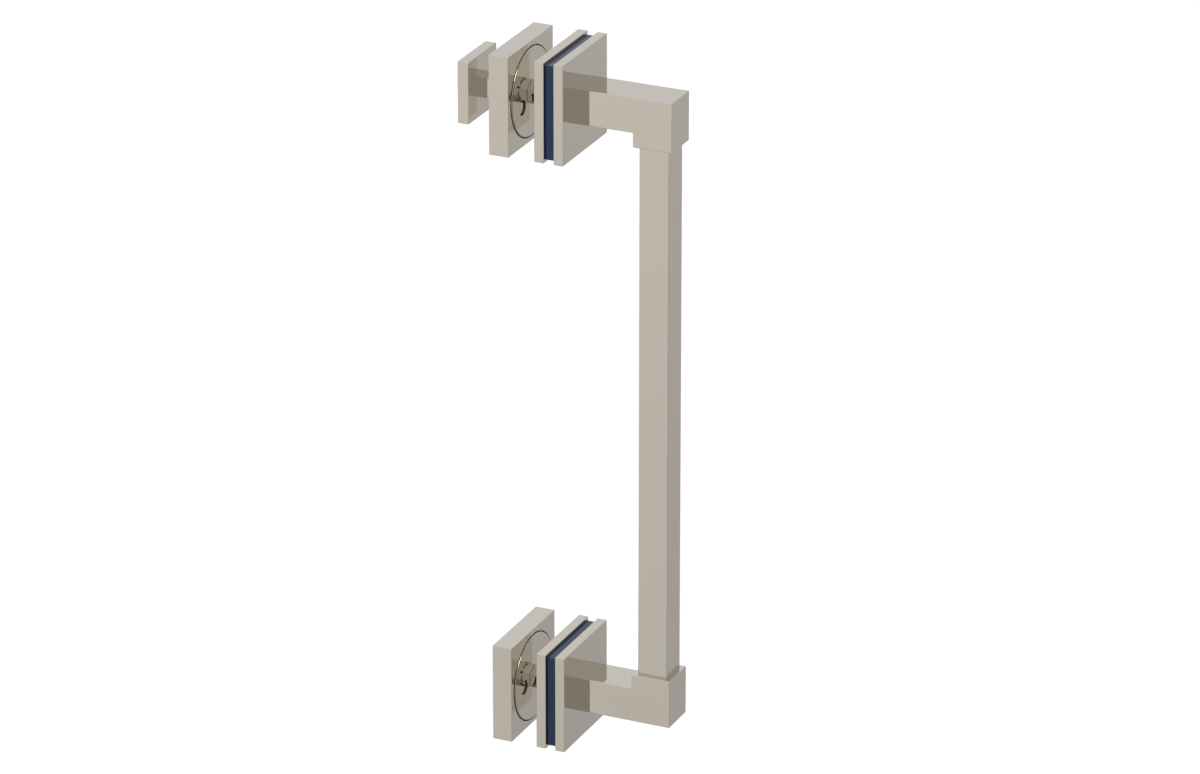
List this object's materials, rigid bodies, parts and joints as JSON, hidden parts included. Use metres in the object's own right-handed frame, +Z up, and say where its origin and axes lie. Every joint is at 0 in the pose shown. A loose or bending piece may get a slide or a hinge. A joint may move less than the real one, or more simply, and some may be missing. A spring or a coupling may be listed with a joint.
{
  "type": "shower door handle",
  "caption": "Back-to-back shower door handle: a square pull bar on two square posts in front of the glass, a square knob and a blind cover behind it.",
  "frame": {"origin": "midway between the two bolts, on the plane that bears on the front of the door glass", "axes": "+Z up along the pull bar, -Y out towards the pull bar, +Y through the glass towards the knob"},
  "size_m": [0.05, 0.1081, 0.3548],
  "materials": {
    "polished_nickel": "polished",
    "navy_accent": "gloss",
    "pin_steel": "satin"
  },
  "bodies": {
    "root": {"pull_bar": "polished_nickel", "knob": "polished_nickel", "knob_screw": "pin_steel", "upper_post": "polished_nickel", "upper_outer_plate": "polished_nickel", "upper_accent_plate": "navy_accent", "upper_glass_plate": "polished_nickel", "upper_front_disc": "polished_nickel", "upper_glass_bolt": "polished_nickel", "upper_dowel_pins": "pin_steel", "upper_clamp_disc": "polished_nickel", "upper_cover": "polished_nickel", "upper_cover_screw": "pin_steel", "upper_bar_screw": "pin_steel", "lower_post": "polished_nickel", "lower_outer_plate": "polished_nickel", "lower_accent_plate": "navy_accent", "lower_glass_plate": "polished_nickel", "lower_front_disc": "polished_nickel", "lower_glass_bolt": "polished_nickel", "lower_dowel_pins": "pin_steel", "lower_clamp_disc": "polished_nickel", "lower_cover": "polished_nickel", "lower_cover_screw": "pin_steel", "lower_bar_screw": "pin_steel"}
  },
  "joints": []
}
